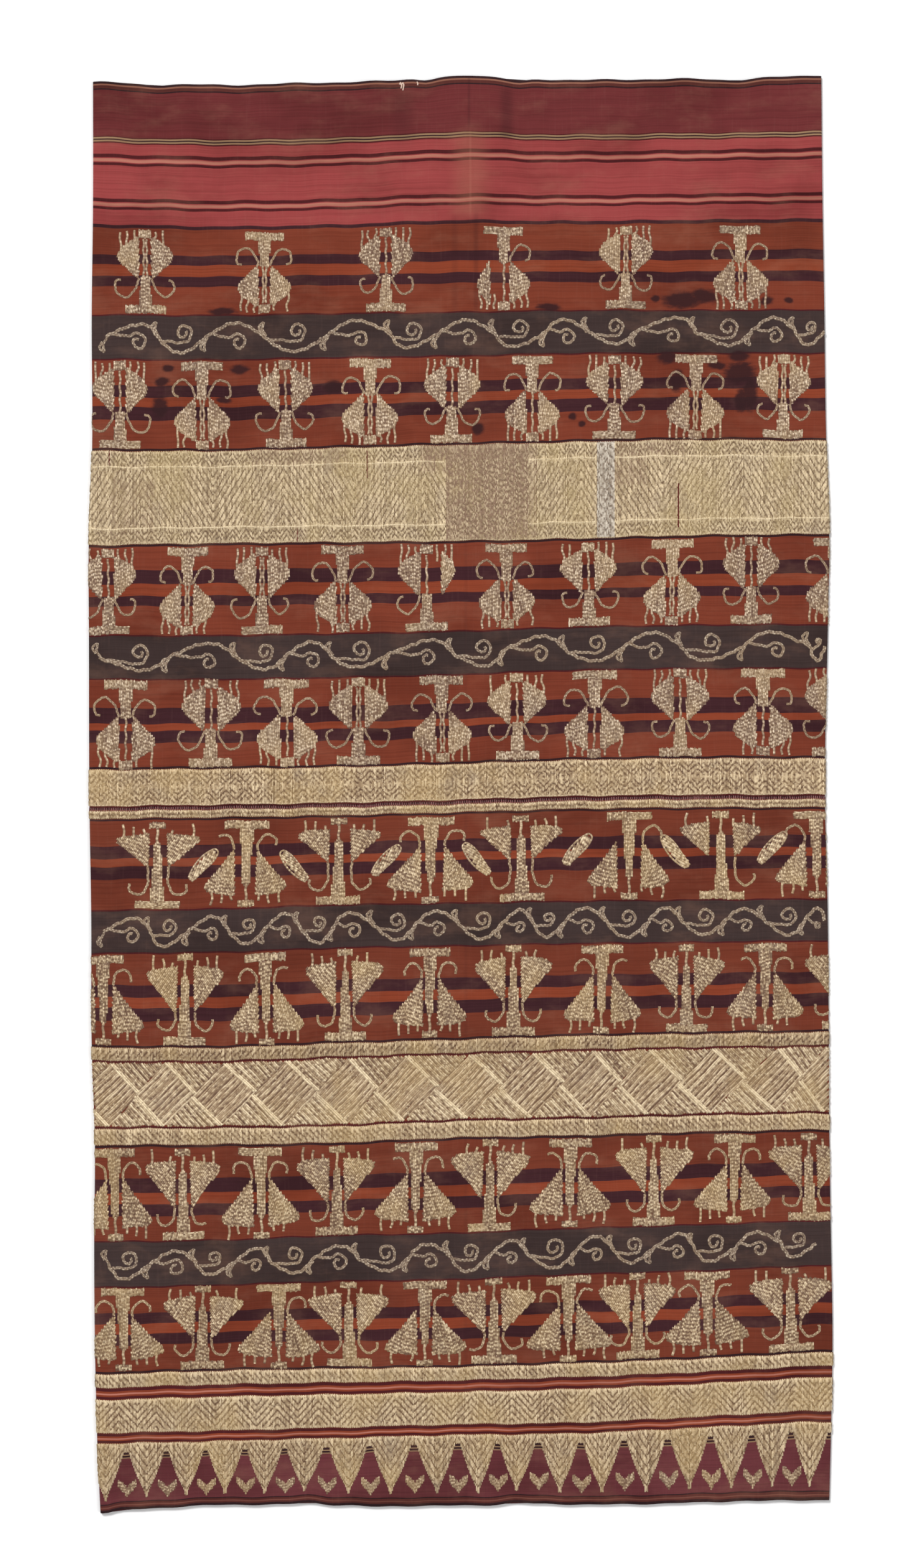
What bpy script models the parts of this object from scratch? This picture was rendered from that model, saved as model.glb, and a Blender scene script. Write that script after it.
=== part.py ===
"""A tapis: a tube skirt of striped cotton with couched gold bands, folded flat and laid face up.

Two woven panels meet at a cross seam. Each panel is a closed tube, so the laid skirt has a front
layer, a back layer a little below it, and a soft fold down each side. Lengths are in millimetres
until a point is placed. +Y runs to the waist edge and +Z up from the surface under the back layer.
"""

import math
from collections import namedtuple

import bmesh
import bpy
import numpy as np

MILLIMETRE = 0.001

# Thickness of the cloth and of the gold thread laid on its front
CLOTH = 1.2
LAYER_GAP = 1.4
GOLD = 0.9
GOLD_EDGE = 0.6
FRONT_TOP = 2 * CLOTH + LAYER_GAP
FOLD_RADIUS = FRONT_TOP / 2

# Lengths down the middle of the front, from the waist edge
SEAM_DOWN = 620.8
HEM_DOWN = 1224.2
SEAM_GAP = 0.3
WAIST_Y = 613.7

# The cloth lies a little askew. Each row is a line across it: its length down the middle, where it
# meets the left and right edges, and how much lower it runs at each station across the front.
STATIONS = (-306, -208, -107, -3, 85, 197, 299)
Line = namedtuple("Line", "name down left right sags")
LIE = (
    Line("waist edge", 0, -315.1, 309.3, (3.7, 6.4, 5.3, 0, 2.1, 1.1, -1.6)),
    Line("second stripe", 105, -315.1, 310.3, (3.7, 5.9, 4.3, 0, 1.1, 0, -1.1)),
    Line("first scroll band", 202, -316.2, 311.9, (2.1, 2.7, 1.1, 0, -1.6, -1.6, -2.1)),
    Line("broad band, top", 315, -315.9, 313.5, (5.3, 5.3, 2.7, 0, -2.1, -4.3, -3.7)),
    Line("broad band, foot", 398, -318.8, 316.2, (3.7, 2.1, 1.1, 0, -1.6, -4.8, -5.9)),
    Line("second scroll band", 476, -318.6, 314.9, (3.7, 3.7, 2.1, 0, -3.2, -5.3, -5.9)),
    Line("seam", SEAM_DOWN, -318.1, 312.5, (5.6, 4.3, 2.7, 0, -2.7, -4.3, -4.3)),
    Line("third scroll band", 709, -316.7, 314.6, (6.4, 4.8, 1.6, 0, -1.6, -2.7, -3.7)),
    Line("diamond band, top", 824, -316.2, 315.7, (6.9, 6.9, 3.2, 0, -2.7, -4.8, -6.4)),
    Line("diamond band, foot", 909, -313.5, 316.2, (6.4, 5.9, 4.3, 0, -1.6, -4.8, -6.9)),
    Line("fourth scroll band", 991, -314.1, 317.3, (7.5, 5.9, 2.1, 0, -3.7, -6.9, -10.7)),
    Line("hem bands, top", 1105, -313.0, 318.9, (6.4, 3.2, 1.6, 0, -2.7, -6.9, -12.3)),
    Line("pointed band, top", 1163, -311.4, 317.8, (7.5, 5.3, 2.7, 0, -1.1, -5.9, -11.2)),
    Line("hem edge", HEM_DOWN, -308.7, 316.2, (4.8, -0.5, -0.5, 0, -2.1, -2.7, -4.8)),
)

# Soft rises in the front layer, placed by hand: centre across and down, reach each way, and height
Rise = namedtuple("Rise", "name across down reach_across reach_down height")
RISES = (
    Rise("centre crease", 5.3, 500, 9, 900, 0.8),
    Rise("waist hump, left", -37, 10, 22, 55, 1.5),
    Rise("waist hump, right", 27, 0, 18, 60, 1.2),
    Rise("pucker over the broad band", -150, 270, 60, 30, 0.7),
    Rise("pucker right of the middle", 170, 440, 70, 34, 0.6),
    Rise("pucker under the seam", -90, 680, 80, 36, 0.6),
    Rise("pucker over the diamonds", 130, 780, 70, 30, 0.7),
    Rise("lift of the lower left", -235, 1020, 60, 60, 0.8),
    Rise("lift of the lower right", 215, 1050, 60, 50, 0.7),
)
RISE_FADE = 30

# Gold bands: their edges down the middle. The last one's lower edge hangs in points.
Band = namedtuple("Band", "name top foot point_drop")
UPPER_BANDS = (
    Band("broad chevron band", 314.6, 397.8, 0),
    Band("lattice band over the seam", 588.1, 619.6, 0),
)
LOWER_BANDS = (
    Band("ticked band under the seam", 622.2, 630.2, 0),
    Band("diamond band", 824.3, 909.1, 0),
    Band("slanted hem band", 1104.8, 1117.0, 0),
    Band("zigzag hem band", 1126.1, 1154.9, 0),
    Band("pointed hem band", 1162.9, 1173.6, 40.5),
)
POINT_TIPS = (-304, -269, -235, -202, -168, -134, -96, -60, -20, 15, 48, 85, 121, 159, 196, 232, 267, 299)

LAST_VALLEY = 316
LEFT_FOLD_LEVEL = 0.5

# Rows between the bands, where the cloth's edges and rises turn
UPPER_ROWS = (12, 50, 105, 160, 202, 258, 290, 356, 440, 476, 535)
LOWER_ROWS = (665, 709, 765, 866, 950, 991, 1050, 1195)

FOLD_STEPS = 6
BACK_COLUMNS = 12
EDGE_REACH = 312
WELD = 0.01

Row = namedtuple("Row", "down point_drop gold")
Column = namedtuple("Column", "layer place")


def smooth(places, values, at):
    """Read a smooth curve through values, which are numbers or arrays, at one place."""
    values = np.asarray(values, dtype=float)
    slopes = np.gradient(values, places, axis=0)
    at = min(max(at, places[0]), places[-1])
    first = min(int(np.searchsorted(places, at, side="right")) - 1, len(places) - 2)
    span = places[first + 1] - places[first]
    part = (at - places[first]) / span
    ease = part * part * (3 - 2 * part)
    lead = part * (1 - part) ** 2 * span
    trail = part * part * (part - 1) * span
    level = values[first] * (1 - ease) + values[first + 1] * ease
    return level + slopes[first] * lead + slopes[first + 1] * trail


def line_at(down):
    """Left edge, right edge and sags of the line that lies this far down the middle."""
    rows = [(line.left, line.right, *line.sags) for line in LIE]
    read = smooth([line.down for line in LIE], rows, down)
    return read[0], read[1], read[2:]


def rise_at(across, down, edge_distance):
    """Height of the soft rises in the front layer, which die away towards the side folds."""
    height = 0.0
    for rise in RISES:
        away = ((across - rise.across) / rise.reach_across) ** 2
        away += ((down - rise.down) / rise.reach_down) ** 2
        height += rise.height * math.exp(-away)
    return height * min(1.0, edge_distance / RISE_FADE)


def valley_places():
    """Middles between neighbouring point tips."""
    pairs = zip(POINT_TIPS, POINT_TIPS[1:])
    return [(first + second) / 2 for first, second in pairs]


def pointedness(across):
    """1 at a point's tip and 0 at the valleys beside it. The left fold cuts a point half way."""
    places = sorted([-EDGE_REACH, *POINT_TIPS, *valley_places(), LAST_VALLEY])
    levels = [1.0 if place in POINT_TIPS else 0.0 for place in places]
    levels[0] = LEFT_FOLD_LEVEL
    return float(np.interp(across, places, levels))


def ring_columns():
    """Columns of the tube, left to right over the front, round a fold and back underneath."""
    crease = RISES[0].across
    middles = sorted([*POINT_TIPS, *valley_places(), crease])
    places = [(across + EDGE_REACH) / (2 * EDGE_REACH) for across in middles]
    front = [Column("front", place) for place in (0.0, *places, 1.0)]
    turns = [math.pi * step / FOLD_STEPS for step in range(1, FOLD_STEPS)]
    right_fold = [Column("right fold", turn) for turn in turns]
    back = [Column("back", 1 - step / BACK_COLUMNS) for step in range(BACK_COLUMNS + 1)]
    left_fold = [Column("left fold", turn) for turn in reversed(turns)]
    return front + right_fold + back + left_fold


def panel_rows(first_down, last_down, plain_rows, bands):
    """Rows from the lower edge of a panel to its upper one, two at each edge of a gold band."""
    rows = [Row(down, 0, 0) for down in (first_down, last_down, *plain_rows)]
    for band in bands:
        rows += [Row(band.top - GOLD_EDGE, 0, 0), Row(band.top, 0, GOLD)]
        rows += [Row(band.foot, band.point_drop, GOLD), Row(band.foot + GOLD_EDGE, band.point_drop, 0)]
    inside = [(band.top, band.foot) for band in bands]
    rows = [row._replace(gold=GOLD) if any(a < row.down < b for a, b in inside) else row for row in rows]
    return sorted(rows, key=lambda row: row.down, reverse=True)


def place(row, column):
    """A point of the tube's outer surface, and how thick the gold is there."""
    left, right, sags = line_at(row.down)
    inner_left = left + FOLD_RADIUS
    inner_right = right - FOLD_RADIUS
    gold = row.gold
    if column.layer == "front":
        across = inner_left + (inner_right - inner_left) * column.place
        edge_distance = min(across - inner_left, inner_right - across)
        height = FRONT_TOP + gold + rise_at(across, row.down, edge_distance)
    elif column.layer == "back":
        across = inner_left + (inner_right - inner_left) * column.place
        gold = 0.0
        height = 0.0
    else:
        gold *= math.cos(column.place / 2) ** 2
        reach = (FOLD_RADIUS + gold) * math.sin(column.place)
        across = inner_right + reach if column.layer == "right fold" else inner_left - reach
        height = FOLD_RADIUS + (FOLD_RADIUS + gold) * math.cos(column.place)
    down = row.down
    if row.point_drop and column.layer == "front":
        down += row.point_drop * pointedness(across)
        sags = line_at(down)[2]
    up = WAIST_Y - down - smooth(STATIONS, sags, across)
    return (across * MILLIMETRE, up * MILLIMETRE, height * MILLIMETRE), gold


def tube_mesh(name, rows, columns):
    """The outer surface of a panel, closed round and open at its two ends."""
    surface = bmesh.new()
    bmesh.ops.create_grid(surface, x_segments=len(columns), y_segments=len(rows) - 1, size=1)
    thickness = surface.verts.layers.deform.verify()
    for index, vertex in enumerate(surface.verts):
        row, column = divmod(index, len(columns) + 1)
        vertex.co, gold = place(rows[row], columns[column % len(columns)])
        vertex[thickness][0] = (CLOTH + gold) / (CLOTH + GOLD)
    bmesh.ops.remove_doubles(surface, verts=surface.verts, dist=WELD * MILLIMETRE)
    mesh = bpy.data.meshes.new(name)
    surface.to_mesh(mesh)
    surface.free()
    return mesh


def dyed_cotton(name, colour):
    """Cotton cloth, dull and a little rough."""
    material = bpy.data.materials.new(name)
    material.use_nodes = True
    shader = material.node_tree.nodes["Principled BSDF"]
    shader.inputs["Base Color"].default_value = (*colour, 1)
    shader.inputs["Roughness"].default_value = 0.85
    shader.inputs["Metallic"].default_value = 0.0
    return material


def add_panel(name, collection, rows, columns, colour):
    """One woven panel of the skirt as a cloth-thick closed tube."""
    panel = bpy.data.objects.new(name, tube_mesh(name, rows, columns))
    collection.objects.link(panel)
    panel.vertex_groups.new(name="thickness")
    cloth = panel.modifiers.new("cloth thickness", "SOLIDIFY")
    cloth.thickness = (CLOTH + GOLD) * MILLIMETRE
    cloth.offset = -1
    cloth.vertex_group = "thickness"
    cloth.thickness_vertex_group = 0
    panel.data.materials.append(dyed_cotton(name + " cotton", colour))
    return panel


for existing in list(bpy.data.objects):
    bpy.data.objects.remove(existing)
skirt = bpy.data.collections.new("tapis_cloth")
bpy.context.scene.collection.children.link(skirt)
RING = ring_columns()
add_panel(
    "upper_panel",
    skirt,
    panel_rows(0, SEAM_DOWN - SEAM_GAP / 2, UPPER_ROWS, UPPER_BANDS),
    RING,
    colour=(0.22, 0.050, 0.027),
)
add_panel(
    "lower_panel",
    skirt,
    panel_rows(SEAM_DOWN + SEAM_GAP / 2, HEM_DOWN, LOWER_ROWS, LOWER_BANDS),
    RING,
    colour=(0.19, 0.047, 0.026),
)
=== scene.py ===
import math
import random

import bpy
import numpy as np
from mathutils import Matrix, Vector


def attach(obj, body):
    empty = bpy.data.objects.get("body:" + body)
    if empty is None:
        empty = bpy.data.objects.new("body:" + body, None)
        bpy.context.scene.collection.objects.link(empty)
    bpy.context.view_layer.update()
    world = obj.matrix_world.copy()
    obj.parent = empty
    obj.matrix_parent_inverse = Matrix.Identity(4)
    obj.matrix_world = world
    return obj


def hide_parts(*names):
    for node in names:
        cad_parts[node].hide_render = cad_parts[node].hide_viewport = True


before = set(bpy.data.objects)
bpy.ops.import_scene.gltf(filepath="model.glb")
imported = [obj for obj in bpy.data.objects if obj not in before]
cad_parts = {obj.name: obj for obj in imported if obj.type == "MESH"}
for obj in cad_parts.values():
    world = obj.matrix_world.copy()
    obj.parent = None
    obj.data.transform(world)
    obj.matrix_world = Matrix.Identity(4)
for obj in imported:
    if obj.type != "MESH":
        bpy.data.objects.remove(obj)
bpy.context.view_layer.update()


# The two woven panels: handspun cotton with its stripes woven in, each joined into a tube, sewn edge to
# edge and folded flat. The sheets take the solids' place. Places on them are in millimetres across the
# front and down from the waist edge, and pass round the side folds to the back.
MM = 0.001
SEAM_DOWN = 620.8
HEM_DOWN = 1224.2
WAIST_Y = 613.7
FRONT_HEIGHT = 3.8
BACK_HEIGHT = 0.5
FOLD = (FRONT_HEIGHT - BACK_HEIGHT) / 2
HALF_TURN = math.pi * FOLD
JOIN = 631.0

STATIONS = np.array([-306, -208, -107, -3, 85, 197, 299], float)
LIE = np.array([
    # down, left edge, right edge, then how much lower the line runs at each station
    [0, -315.1, 309.3, 3.7, 6.4, 5.3, 0, 2.1, 1.1, -1.6],
    [105, -315.1, 310.3, 3.7, 5.9, 4.3, 0, 1.1, 0, -1.1],
    [202, -316.2, 311.9, 2.1, 2.7, 1.1, 0, -1.6, -1.6, -2.1],
    [315, -315.9, 313.5, 5.3, 5.3, 2.7, 0, -2.1, -4.3, -3.7],
    [398, -318.8, 316.2, 3.7, 2.1, 1.1, 0, -1.6, -4.8, -5.9],
    [476, -318.6, 314.9, 3.7, 3.7, 2.1, 0, -3.2, -5.3, -5.9],
    [SEAM_DOWN, -318.1, 312.5, 5.6, 4.3, 2.7, 0, -2.7, -4.3, -4.3],
    [709, -316.7, 314.6, 6.4, 4.8, 1.6, 0, -1.6, -2.7, -3.7],
    [824, -316.2, 315.7, 6.9, 6.9, 3.2, 0, -2.7, -4.8, -6.4],
    [909, -313.5, 316.2, 6.4, 5.9, 4.3, 0, -1.6, -4.8, -6.9],
    [991, -314.1, 317.3, 7.5, 5.9, 2.1, 0, -3.7, -6.9, -10.7],
    [1105, -313.0, 318.9, 6.4, 3.2, 1.6, 0, -2.7, -6.9, -12.3],
    [1163, -311.4, 317.8, 7.5, 5.3, 2.7, 0, -1.1, -5.9, -11.2],
    [HEM_DOWN, -308.7, 316.2, 4.8, -0.5, -0.5, 0, -2.1, -2.7, -4.8],
], float)
LIE_SLOPES = np.gradient(LIE[:, 1:], LIE[:, 0], axis=0)
RISES = (
    # across, down, reach across, reach down, height of each soft rise in the front layer
    (8.1, 500, 8, 900, 0.8),
    (-72, 14, 22, 60, 2.6),
    (25, 20, 13, 50, 3.4),
    (-150, 270, 60, 30, 0.7),
    (170, 440, 70, 34, 0.6),
    (-90, 680, 80, 36, 0.6),
    (130, 780, 70, 30, 0.7),
    (-235, 1020, 60, 60, 0.8),
    (215, 1050, 60, 50, 0.7),
)
LOW_PLACES = (
    # across, down, reach across, reach down, and how much lower the lines run there
    (-268, 0, 26, 40, 1.5), (-132, 0, 26, 40, -1.5), (-30, 0, 9, 40, 1.9), (8, 0, 15, 60, -1.7),
    (51, 0, 11, 45, 2.2), (238, 0, 24, 40, 2.3), (-304, 1224, 8, 30, 1.7), (-130, 1224, 14, 30, -1.9),
    (-72, 1224, 18, 30, 1.3), (48, 1224, 12, 30, -1.6), (125, 1224, 50, 40, 1.5),
    (240, 1224, 14, 30, -0.8),
)
RISE_FADE = 30


def smooth_between(places, levels, slopes, at):
    """Smooth curve through levels at places, read at each at. Levels and slopes are taken by index."""
    first = np.clip(np.searchsorted(places, at, side="right") - 1, 0, len(places) - 2)
    span = places[first + 1] - places[first]
    part = np.clip((at - places[first]) / span, 0, 1)
    ease = part * part * (3 - 2 * part)
    weights = (1 - ease, ease, part * (1 - part) ** 2 * span, part * part * (part - 1) * span)
    curves = (levels(first), levels(first + 1), slopes(first), slopes(first + 1))
    if curves[0].ndim == 2:
        weights = [weight[:, None] for weight in weights]
    return sum(curve * weight for curve, weight in zip(curves, weights))


def line_at(down):
    """Left edge, right edge and the sags at the stations, for lines this far down."""
    return smooth_between(LIE[:, 0], lambda row: LIE[row, 1:], lambda row: LIE_SLOPES[row], down)


def hills(table, across, down):
    """Soft hills added up, each with its place, its reach both ways and its height."""
    return sum(height * np.exp(-((across - at) / wide) ** 2 - ((down - low) / long) ** 2)
               for at, low, wide, long, height in table)


def on_cloth(across, down, lift):
    """Points, in metres, that are lift millimetres above the cloth."""
    given = [np.atleast_1d(np.asarray(value, float)) for value in (across, down, lift)]
    across, down, lift = np.broadcast_arrays(*given)
    line = line_at(down)
    left, right = line[:, 0] + FOLD, line[:, 1] - FOLD
    side = np.where(across > (left + right) / 2, 1.0, -1.0)
    edge = np.where(side > 0, right, left)
    over = np.maximum((across - edge) * side, 0)
    turn = np.minimum(over / FOLD, math.pi)
    under = np.maximum(over - HALF_TURN, 0)
    lift = np.where(turn > math.pi / 2, np.minimum(lift, BACK_HEIGHT), lift)
    x = np.where(over > 0, edge + side * ((FOLD + lift) * np.sin(turn) - under), across)
    z = BACK_HEIGHT + FOLD + (FOLD + lift) * np.cos(turn)
    fade = np.clip((edge - across) * side / RISE_FADE, 0, 1)
    z = z + fade * hills(RISES, across, down)
    sags = line[:, 2:]
    sag_slopes = np.gradient(sags, STATIONS, axis=1)
    rows = np.arange(len(x))
    sag = smooth_between(STATIONS, lambda i: sags[rows, i], lambda i: sag_slopes[rows, i], x)
    uneven = 0.4 * np.sin(x / 11 + down / 40) + 0.3 * np.sin(x / 5.3 - down / 23)
    return np.stack([x, WAIST_Y - down - sag - hills(LOW_PLACES, x, down) - uneven, z], axis=1) * MM


def dyed(red, green, blue):
    """A colour seen as red, green and blue of 255, as linear light."""
    parts = np.array([red, green, blue]) / 255
    return tuple(np.where(parts < 0.04045, parts / 12.92, ((parts + 0.055) / 1.055) ** 2.4)) + (1.0,)


MAROON = dyed(109, 46, 47)
BROWN = dyed(90, 45, 40)
ROSE = dyed(153, 66, 65)
PALE_ROSE = dyed(178, 112, 96)
RUST = dyed(124, 57, 39)
DEEP_RUST = dyed(116, 54, 37)
RED_RUST = dyed(137, 62, 39)
PURPLE = dyed(63, 32, 37)
DARK_RED = dyed(76, 26, 29)
GREY_BROWN = dyed(64, 50, 48)
STRAW = dyed(152, 122, 92)
TAN = dyed(146, 98, 80)
# near black: woven dark stripes, and the thin lines just above and below the gold bands, which are painted
# shadow lines
NEAR_BLACK_AND_SHADOW_LINES = dyed(50, 28, 31)
HEM_MAROON = dyed(104, 51, 55)
HEM_TAN = dyed(120, 72, 62)

ROSE_LINES = (DARK_RED, ROSE, PALE_ROSE, ROSE, DARK_RED)
HEM_LINES = (DARK_RED, RED_RUST, PALE_ROSE, RED_RUST, DARK_RED)
GREY_STRIPE = (DARK_RED, GREY_BROWN, DARK_RED)
UPPER_ROW = (RUST, PURPLE, RED_RUST, PURPLE, RUST)
LOWER_ROW = (DEEP_RUST, PURPLE, RED_RUST, PURPLE, DEEP_RUST)
# the near-black stripes just above and below a gold band are painted shadow lines
UPPER_STRIPES = (
    # the dyes of neighbouring stripes, and where each stripe ends down the middle
    ((NEAR_BLACK_AND_SHADOW_LINES, TAN, BROWN, NEAR_BLACK_AND_SHADOW_LINES, MAROON), (2, 3.4, 6, 7.2, 46.6)),
    ((DARK_RED, STRAW, NEAR_BLACK_AND_SHADOW_LINES, STRAW, DARK_RED, ROSE), (47.5, 48.9, 50, 51.3, 52.5, 61.8)),
    (ROSE_LINES, (64.8, 65.6, 68.3, 69, 71.4)),
    ((ROSE,), (99.8,)),
    (ROSE_LINES, (102.7, 103.5, 106.2, 106.9, 109.2)),
    ((ROSE, PURPLE), (122.4, 125.4)),
    (UPPER_ROW, (148.8, 157.3, 167.4, 176.5, 200.9)),
    (GREY_STRIPE, (202.1, 238.3, 239.6)),
    (UPPER_ROW, (260.2, 269.8, 277.8, 289, 313)),
    ((NEAR_BLACK_AND_SHADOW_LINES, RUST, NEAR_BLACK_AND_SHADOW_LINES), (314.8, 397.6, 399.4)),
    (UPPER_ROW, (419.6, 431.3, 441.5, 450, 474.3)),
    (GREY_STRIPE, (475.6, 511.3, 512.6)),
    (UPPER_ROW, (536.4, 549.7, 555.8, 566, 586.4)),
    ((NEAR_BLACK_AND_SHADOW_LINES, RUST, DARK_RED), (588.2, 619.4, SEAM_DOWN)),
)
# the near-black stripes just above and below a gold band are painted shadow lines
LOWER_STRIPES = (
    ((NEAR_BLACK_AND_SHADOW_LINES, DEEP_RUST, NEAR_BLACK_AND_SHADOW_LINES), (622.4, 630.2, 631.8)),
    (LOWER_ROW, (653.2, 663.8, 670.8, 681.4, 707.3)),
    (GREY_STRIPE, (708.6, 743.8, 745.1)),
    (LOWER_ROW, (771.5, 781.7, 790.7, 801.9, 822.7)),
    ((NEAR_BLACK_AND_SHADOW_LINES, DEEP_RUST, DARK_RED, DEEP_RUST), (824.5, 836.1, 837.5, 893)),
    ((DARK_RED, DEEP_RUST, NEAR_BLACK_AND_SHADOW_LINES), (894.6, 908.9, 910.8)),
    (LOWER_ROW, (937.4, 949.6, 959.2, 969.3, 990)),
    (GREY_STRIPE, (991.2, 1029.6, 1030.9)),
    (LOWER_ROW, (1053, 1062.6, 1071.7, 1081.3, 1103.2)),
    ((NEAR_BLACK_AND_SHADOW_LINES, DEEP_RUST), (1105, 1117)),
    (HEM_LINES, (1119.6, 1121.2, 1122.6, 1124, 1126.1)),
    ((DEEP_RUST,), (1154.9,)),
    (HEM_LINES, (1157.2, 1158.7, 1160, 1161.1, 1162.9)),
    ((DEEP_RUST, NEAR_BLACK_AND_SHADOW_LINES, STRAW, NEAR_BLACK_AND_SHADOW_LINES, STRAW), (1171.6, 1173.6, 1174.5, 1176.1, 1177)),
    ((HEM_MAROON, NEAR_BLACK_AND_SHADOW_LINES, BROWN), (1216.6, 1217.6, 1219.4)),
    ((HEM_TAN, BROWN, NEAR_BLACK_AND_SHADOW_LINES), (1220.4, 1221.8, HEM_DOWN)),
)
STAINS = (
    # across, down, reach across, reach down of the dark spots in the upper panel
    (190, 192.4, 15, 6.6), (209, 189.4, 11, 5.8), (262.3, 193.6, 5.2, 3.6), (166.9, 191, 3.6, 2.8),
    (281, 193, 3.4, 2.6), (76, 198.6, 9, 2.8), (-204.2, 198.3, 10, 2.8), (238.9, 241.4, 8, 4.4),
    (220.2, 249.8, 7.6, 3), (239.4, 256, 12.4, 8.4), (248, 275, 5.6, 12.6), (240.5, 280.4, 5.4, 8.6),
    (177.5, 242.8, 8, 5), (185.6, 264.1, 5.4, 8.8), (-250.6, 246, 4.4, 2.6), (-256, 256.7, 5.4, 3.6),
    (-189.8, 246.8, 7.4, 3.4), (-257.5, 277.5, 6.2, 8), (-109, 263.5, 7.2, 5), (-203, 272, 6, 2.2),
    (15, 301.5, 4.8, 4.4), (96, 293.5, 3.2, 2.8), (104, 300, 2.8, 2.4),
)
# the colour of the painted shade in creases and folds
SHADE = dyed(44, 20, 23)
PAINTED_CREASE_SHADING_AND_FADE = (
    # painted shade along the creases and folds, a painted highlight on the lit side of the middle crease,
    # and a zone of the pink faded paler: across, top, foot, reach across, how strong at its middle, and the
    # colour it leans to
    (7.2, -9, 48, 2, 0.24, SHADE), (39.5, 8, 58, 9, 0.32, SHADE), (-50, 10, 60, 15, 0.18, SHADE),
    (8, 48, 124, 22, 0.22, dyed(168, 110, 88)), (8.4, 48, 124, 1.6, 0.1, dyed(196, 132, 110)),
    (-5, 120, 205, 4.5, 0.15, SHADE), (13.2, 118, 205, 3.4, 0.24, SHADE),
    (4.5, 240, 1240, 2.4, 0.1, SHADE),
)
FRONT_COLUMNS = 116
FOLD_COLUMNS = 8
BACK_COLUMNS = 10
ROW_STEP = 8.0
INNER_STEP = 24.0
CLOTH_THICKNESS = 0.5


def ring_places(down):
    """Distances across of the cloth's columns, from the join behind, over the front, to it again."""
    line = line_at(down)
    left, right = line[:, :1] + FOLD, line[:, 1:2] - FOLD
    half = (right - left) / 2
    behind = np.linspace(0, 1, BACK_COLUMNS + 1)[None, :]
    fold = np.linspace(0, 1, FOLD_COLUMNS + 1)[None, 1:]
    front = np.linspace(0, 1, FRONT_COLUMNS + 1)[None, 1:]
    return np.hstack([
        left - HALF_TURN - half * (1 - behind),
        left - HALF_TURN * (1 - fold),
        left + 2 * half * front,
        right + HALF_TURN * fold,
        right + HALF_TURN + half * behind[:, 1:],
    ])


def woven_rows(start, stripes):
    """Rows of the sheet, at every edge of a stripe and at steps between, and the dye below each."""
    downs, row_dyes = [start], []
    for dyes, ends in stripes:
        for dye, end in zip(dyes, ends):
            steps = max(1, math.ceil((end - downs[-1]) / ROW_STEP))
            downs += list(np.linspace(downs[-1], end, steps + 1)[1:])
            row_dyes += [dye] * steps
    return np.array(downs), np.array(row_dyes)


def flat_map(mesh, name, places):
    """A UV map from one pair of numbers for each corner."""
    layer = mesh.uv_layers.new(name=name)
    layer.data.foreach_set("uv", np.asarray(places, np.float32).ravel())


def added(name, data):
    """A new object in the scene: a mesh, a light or a camera."""
    made = bpy.data.objects.new(name, data)
    bpy.context.scene.collection.objects.link(made)
    return made


def weave_panel(name, start, stripes, material):
    """A closed sheet. Its rows run down the outer face and up the inner one, back to the first."""
    outer, dyes = woven_rows(start, stripes)
    inner = np.linspace(outer[-1], start, math.ceil((outer[-1] - start) / INNER_STEP) + 1)
    inner_dyes = dyes[np.searchsorted(outer, inner[1:], side="right") - 1]
    row_dyes = np.vstack([dyes, dyes[-1:], inner_dyes, dyes[:1]])
    downs = np.concatenate([outer, inner])
    lifts = np.repeat([0.0, -CLOTH_THICKNESS], [len(outer), len(inner)])
    places = ring_places(downs)
    rows, columns = len(downs), places.shape[1] - 1
    points = on_cloth(places[:, :-1].ravel(), np.repeat(downs, columns), np.repeat(lifts, columns))
    row, column = np.meshgrid(np.arange(rows), np.arange(columns), indexing="ij")
    below, after = (row + 1) % rows, (column + 1) % columns
    corners = ((row, column, column), (below, column, column), (below, after, column + 1),
               (row, after, column + 1))
    faces = np.stack([line * columns + point for line, point, _ in corners], -1)
    flat = [np.stack([places[line, place], downs[line]], -1) for line, _, place in corners]
    flat = np.stack(flat, -2).reshape(-1, 2) * MM
    mesh = bpy.data.meshes.new(name)
    mesh.from_pydata(points.tolist(), [], faces.reshape(-1, 4).tolist())
    flat_map(mesh, "cloth", flat)
    reach = np.interp(flat[:, 0], [-0.64, -0.317, 0.317, 0.64], [0.0, 0.13, 0.83, 0.96])
    inside = 4 * columns * (len(outer) - 1)
    reach[inside:] = 0.97 + 0.03 * reach[inside:]
    drop = (flat[:, 1] / MM - start) / (outer[-1] - start)
    flat_map(mesh, "OFBake", np.stack([reach, 1 - drop], -1))
    dye = mesh.color_attributes.new("dye", "FLOAT_COLOR", "CORNER")
    dye.data.foreach_set("color", np.repeat(row_dyes, 4 * columns, axis=0).astype(np.float32).ravel())
    mesh.shade_smooth()
    mesh.materials.append(material)
    return added(name, mesh)


def shader_of(name):
    """A new material, its node tree and its main shader."""
    material = bpy.data.materials.new(name)
    material.use_nodes = True
    return material, material.node_tree, material.node_tree.nodes["Principled BSDF"]


def node(tree, kind, settings=None, **inputs):
    """Add a node. Its inputs are values or sockets, by name, or by number after an n."""
    made = tree.nodes.new("ShaderNode" + kind)
    for key, value in (settings or {}).items():
        setattr(made, key, value)
    for key, value in inputs.items():
        socket = made.inputs[int(key[1:]) if key[1:].isdigit() else key.replace("_", " ")]
        if isinstance(value, bpy.types.NodeSocket):
            tree.links.new(value, socket)
        else:
            socket.default_value = value
    return made


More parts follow.
